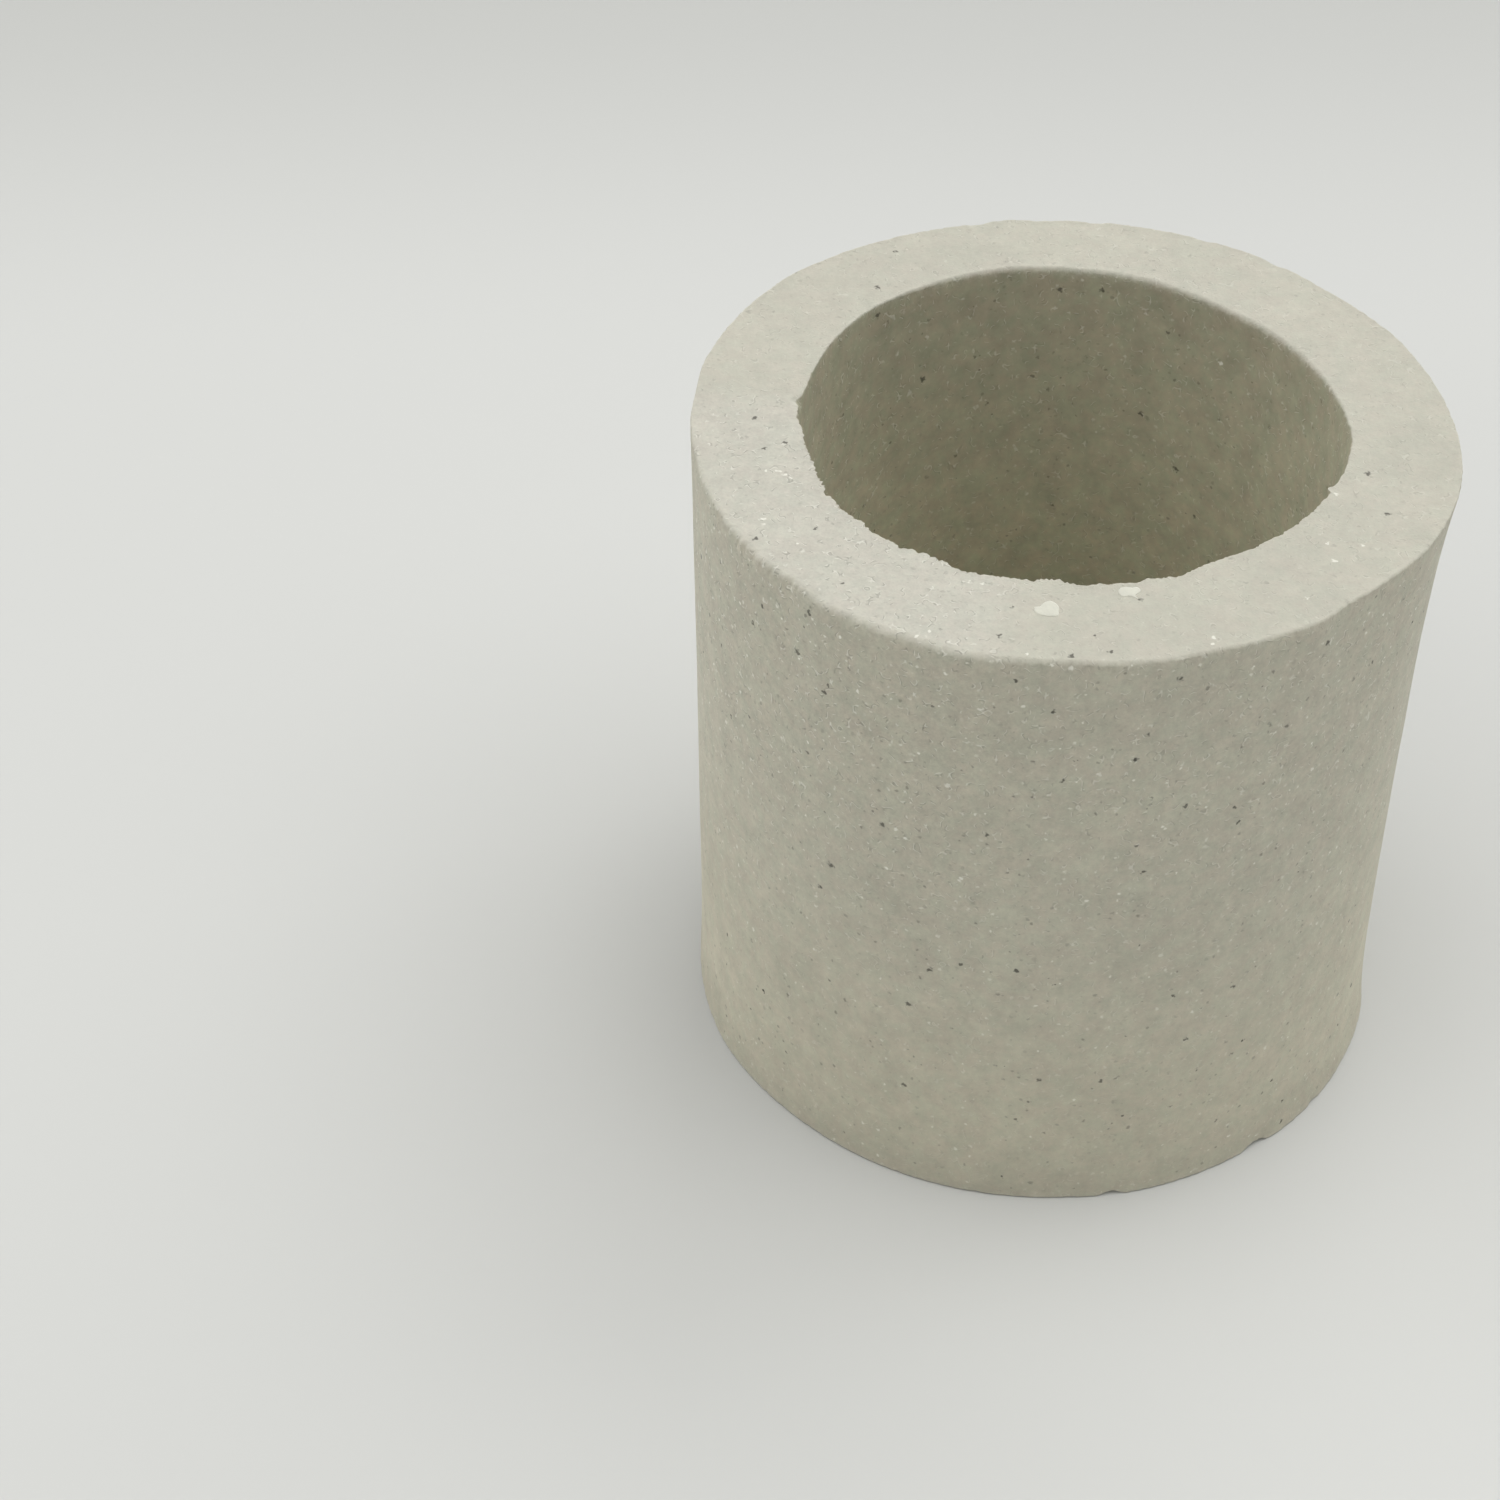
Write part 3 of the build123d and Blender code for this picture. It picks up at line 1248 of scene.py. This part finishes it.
        ridge = clay.group(groups.ridges, Vector=clay.place).outputs
        plainly = clay.math("MULTIPLY", coarse, coarse)
        crest = clay.math("MULTIPLY", ridge["Crest"], plainly)
        groove = clay.math("MULTIPLY", ridge["Groove"], plainly)
        pale = clay.math("MULTIPLY", crest, self.pale_scratches.at(clay, inside, cut))
        clay.lay(pale, self.white)
        clay.lay(clay.math("MULTIPLY", groove, self.dark_scratches), self.dark)
        scratch = clay.math("SUBTRACT", crest, groove)
        relief = clay.math("MULTIPLY_ADD", scratch, self.scratch_steepness, relief)

        rough = clay.noise(clay.place, self.ragged_cell, 0.0).outputs["Fac"]
        rough = clay.math("MULTIPLY_ADD", rough, self.ragged, -self.ragged / 2)
        for kind in self.grains:
            kind.strew(clay, groups.speckle, surface, rough, coarse)
        for marks in self.marks:
            if marks.surface is surface:
                self.mark(clay, ring, marks, rough)
        matte = clay.ramp(fine["Height"], *self.matte_heights, *self.matte)
        return clay.close_dry(matte, relief, self.relief_depth)

    def mottle(self, clay: Finish, amount: Socket) -> None:
        """Tint the clay green and brown in soft patches.

        The skin is also a little warmer towards the base, partly the clay's own and partly painted
        warm bounce light, and the painted tone is applied, which carries the painted shade at the
        foot and the painted light and shade in the bore.

        Args:
            clay: The material.
            amount: How plainly the tint shows.
        """
        white = rgba((1.0, 1.0, 1.0))
        patches = clay.noise(clay.place, self.tint_cell, roughness=self.tint_roughness)
        share = clay.ramp(patches.outputs["Fac"], *self.tint_levels)
        tint = clay.blend(amount, white, clay.blend(share, rgba(self.green), rgba(self.brown)))
        # Warmer towards the base: partly the clay's own colour, partly painted warm bounce light.
        warmth = clay.blend(clay.painted("low"), white, rgba(self.low))
        tint = clay.vector("MULTIPLY", tint, warmth)
        clay.colour = clay.vector("MULTIPLY", clay.colour, tint)
        clay.colour = clay.scaled(clay.colour, clay.painted("tone"))

    def mark(self, clay: Finish, ring: StonewareRing, marks: Marks, rough: Socket) -> None:
        """Lay single marks over the clay. Each fades between the mark shares of its size.

        Args:
            clay: The material.
            ring: The ring, for where the marks are.
            marks: The marks.
            rough: Random distance in millimetres that makes the outlines ragged.
        """
        colour = self.white if marks.white else self.dark
        for bearing, along, size in marks.spots:
            middle = ring.spot(marks.surface, bearing, along)
            apart = clay.vector("DISTANCE", clay.place, middle, result="Value")
            apart = clay.math("ADD", apart, rough)
            start, end = (share * size for share in self.mark_shares)
            clay.lay(clay.ramp(apart, start, end, self.mark_strength, 0.0), colour)


@dataclass(frozen=True)
class WhiteGrit:
    """The flakes' finish: chalky white, with faint grain and a few dark specks."""

    name: str = "white_grit"
    colour: Colour = (0.74, 0.735, 0.645)
    speck: Colour = (0.3, 0.29, 0.23)
    roughness: float = 0.7
    fineness: float = 0.15
    patches: float = 0.25
    speck_cell: float = 0.5
    speck_radius: float = 0.07
    speck_softness: float = 0.5
    speck_share: float = 0.5
    relief_depth: float = 0.03

    def build(self, groups: ClayGroups) -> Material:
        """Make the material.

        Args:
            groups: The shared node groups.

        Returns:
            The material.
        """
        grit = Finish(self.name)
        tone = {"Fine": self.fineness, "Patches": self.patches}
        fine = grit.group(groups.grain, Vector=grit.place, **tone).outputs
        grit.colour = grit.scaled(self.colour, fine["Tone"])
        inputs = {
            "Vector": grit.place,
            "Cell": self.speck_cell,
            "Radius": self.speck_radius,
            "Softness": self.speck_softness,
            "Roughness": 0.0,
            "Dark share": self.speck_share,
            "White share": 0.0,
        }
        grit.lay(grit.group(groups.speckle, **inputs).outputs["Dark"], self.speck)
        return grit.close_dry(self.roughness, fine["Height"], self.relief_depth)


@dataclass(frozen=True)
class SoftLamp:
    """A wide soft light from one direction, even over the whole floor."""

    name: str
    bearing: float
    elevation: float
    spread: float
    strength: float

    def build(self) -> None:
        """Add the lamp to the scene."""
        lamp = bpy.data.lights.new(self.name, "SUN")
        lamp.energy = self.strength
        lamp.angle = np.radians(self.spread)
        thing = bpy.data.objects.new(self.name, lamp)
        elevation = np.radians(self.elevation)
        towards = Vector(polar(self.bearing, np.cos(elevation), np.sin(elevation)))
        thing.rotation_euler = towards.to_track_quat("Z", "Y").to_euler()
        bpy.context.scene.collection.objects.link(thing)


@dataclass(frozen=True)
class Studio:
    """A plain pale floor under soft light, with painted shade on the floor behind the ring."""

    floor_colour: Colour = (0.638, 0.643, 0.62)
    # Painted shade of the floor behind the ring, and where it lies
    floor_painted_shade_colour: Colour = (0.525, 0.53, 0.507)
    painted_shade_bearing: float = 98.0
    painted_shade_start: float = 60.0
    painted_shade_end: float = 125.0
    pale_start: float = 200.0
    pale_end: float = 1200.0
    floor_half: float = 3000.0
    floor_roughness: float = 0.9
    floor_shine: float = 0.2
    sky_colour: Colour = (0.716, 0.72, 0.694)
    sky_light: Colour = (1.0, 1.0, 1.0)
    sky_strength: float = 0.123
    lamps: tuple[SoftLamp, ...] = (
        SoftLamp("overhead_narrow", 0.0, 90.0, 30.0, 0.41),
        SoftLamp("overhead_wide", 0.0, 90.0, 80.0, 0.77),
        SoftLamp("right_high", 0.0, 60.0, 50.0, 0.7),
        SoftLamp("left_high", 180.0, 60.0, 50.0, 0.39),
        SoftLamp("back_right_low", 60.0, 35.0, 60.0, 0.91),
        SoftLamp("front_left_low", 240.0, 35.0, 60.0, 0.55),
        SoftLamp("left_low", 180.0, 35.0, 60.0, 0.225),
        SoftLamp("right_low", 0.0, 35.0, 60.0, 0.12),
    )

    def build(self) -> None:
        """Make the floor, the sky and the lamps."""
        self.floor()
        self.sky()
        for lamp in self.lamps:
            lamp.build()

    def floor(self) -> None:
        """Make the floor, a flat square with painted shade in a band behind the ring, where the
        light falls off.
        """
        h = self.floor_half
        corners = np.array([(-h, -h, 0), (h, -h, 0), (h, h, 0), (-h, h, 0)], float)
        floor = mesh_piece("floor", corners, [[0, 1, 2, 3]])
        paper = Finish("floor_paper")
        # Painted shade: the floor darkens in a band behind the ring, where the light falls off, and
        # fades back out far away.
        direction = polar(self.painted_shade_bearing, 1.0, 0.0)
        back = paper.vector("DOT_PRODUCT", paper.place, direction, result="Value")
        away = paper.vector("LENGTH", paper.place, result="Value")
        share = paper.ramp(back, self.painted_shade_start, self.painted_shade_end)
        kept = paper.ramp(away, self.pale_start, self.pale_end, 1.0, 0.0)
        share = paper.math("MULTIPLY", share, kept)
        paper.colour = rgba(self.floor_colour)
        paper.lay(share, self.floor_painted_shade_colour)
        shine = {"Roughness": self.floor_roughness, "Specular_IOR_Level": self.floor_shine}
        floor.data.materials.append(paper.close(**shine))

    def sky(self) -> None:
        """Light the scene evenly from all round, and show the camera a pale backdrop."""
        world = bpy.data.worlds.new("studio_sky")
        world.use_nodes = True
        world.cycles.sampling_method = "NONE"
        bpy.context.scene.world = world
        graph = Graph(world.node_tree)
        inputs = {0: graph.node("ShaderNodeLightPath").outputs["Is Camera Ray"]}
        shown = ((self.sky_light, self.sky_strength), (self.sky_colour, 1.0))
        for number, (colour, strength) in enumerate(shown, start=1):
            background = {"Color": rgba(colour), "Strength": strength}
            inputs[number] = graph.node("ShaderNodeBackground", background).outputs[0]
        mix = graph.node("ShaderNodeMixShader", inputs)
        out = graph.node("ShaderNodeOutputWorld")
        graph.feed(out.inputs["Surface"], mix.outputs[0])


@dataclass(frozen=True)
class Viewpoint:
    """The camera's place above the near side, its lens and how it is turned."""

    aim_height: float
    distance: float = 171.35
    elevation: float = 40.98
    lens: float = 74.79
    sensor: float = 36.0
    pan: float = 5.325
    tilt: float = 1.232
    roll: float = 4.178
    nearest: float = 5.0
    farthest: float = 20000.0

    def build(self) -> None:
        """Make the camera and turn it: aimed at the ring's middle, then panned and rolled."""
        camera = bpy.data.cameras.new("view_camera")
        camera.lens = self.lens
        camera.sensor_width = self.sensor
        camera.sensor_fit = "HORIZONTAL"
        camera.clip_start = self.nearest * MM
        camera.clip_end = self.farthest * MM
        thing = bpy.data.objects.new("view_camera", camera)
        bpy.context.scene.collection.objects.link(thing)

        elevation = np.radians(self.elevation)
        away = Vector((0.0, -np.cos(elevation), np.sin(elevation)))
        right = Vector((1.0, 0.0, 0.0))
        up = right.cross(-away)
        aimed = Matrix((right, -up, -away))
        turned = (
            Matrix.Rotation(np.radians(self.roll), 3, "Z")
            @ Matrix.Rotation(np.radians(self.tilt), 3, "X")
            @ Matrix.Rotation(np.radians(self.pan), 3, "Y")
            @ aimed
        )
        axes = Matrix((turned[0], -turned[1], -turned[2])).transposed()
        place = away * self.distance + Vector((0.0, 0.0, self.aim_height))
        thing.matrix_world = Matrix.Translation(place * MM) @ axes.to_4x4()
        bpy.context.scene.camera = thing


FLAKES = (
    Flake(
        name="flake_large",
        bearing=-90.7,
        radius=15.03,
        outline=EdgeLine(
            (
                (14, 0.54), (61, 0.63), (85, 0.68), (102, 0.59), (131, 0.45), (155, 0.42),
                (168, 0.64), (-165, 0.66), (-145, 0.6), (-110, 0.48), (-65, 0.51), (-36, 0.66),
                (-10, 0.52),
            ),
            window=6.0,
        ),
        seed=41,
    ),
    Flake(
        name="flake_small",
        bearing=-75.1,
        radius=13.75,
        outline=EdgeLine(
            (
                (13, 0.63), (48, 0.6), (61, 0.38), (106, 0.36), (146, 0.46), (-174, 0.47),
                (-133, 0.47), (-88, 0.3), (-55, 0.36), (-44, 0.68), (-33, 0.4), (-10, 0.44),
            ),
            window=6.0,
        ),
        seed=42,
    ),
)


def dress(piece: Piece, *materials: Material) -> None:
    """Finish a piece and let it ride on the ring's body.

    Args:
        piece: The mesh object.
        materials: Its finishes, in the order of the mesh's material numbers.
    """
    for material in materials:
        piece.data.materials.append(material)
    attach(piece, BODY)
    log.info("%s: %d faces", piece.name, len(piece.data.polygons))


def main() -> None:
    """Build the ring, its flakes and finishes, the studio and the camera."""
    logging.basicConfig(level=logging.INFO)
    low, high = (np.array(corner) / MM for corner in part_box(NODE))
    groups = ClayGroups()
    ring = StonewareRing(low=low, high=high)
    piece = ring.build()
    clay = Stoneware()
    dress(piece, *(clay.build(ring, surface, groups) for surface in Surface))
    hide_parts(NODE)
    grit = WhiteGrit().build(groups)
    for flake in FLAKES:
        dress(flake.build(ring.height - ring.face_drop), grit)
    Studio().build()
    Viewpoint(aim_height=ring.height / 2).build()
    bpy.context.scene.view_settings.view_transform = "Standard"


if __name__ == "__main__":
    main()
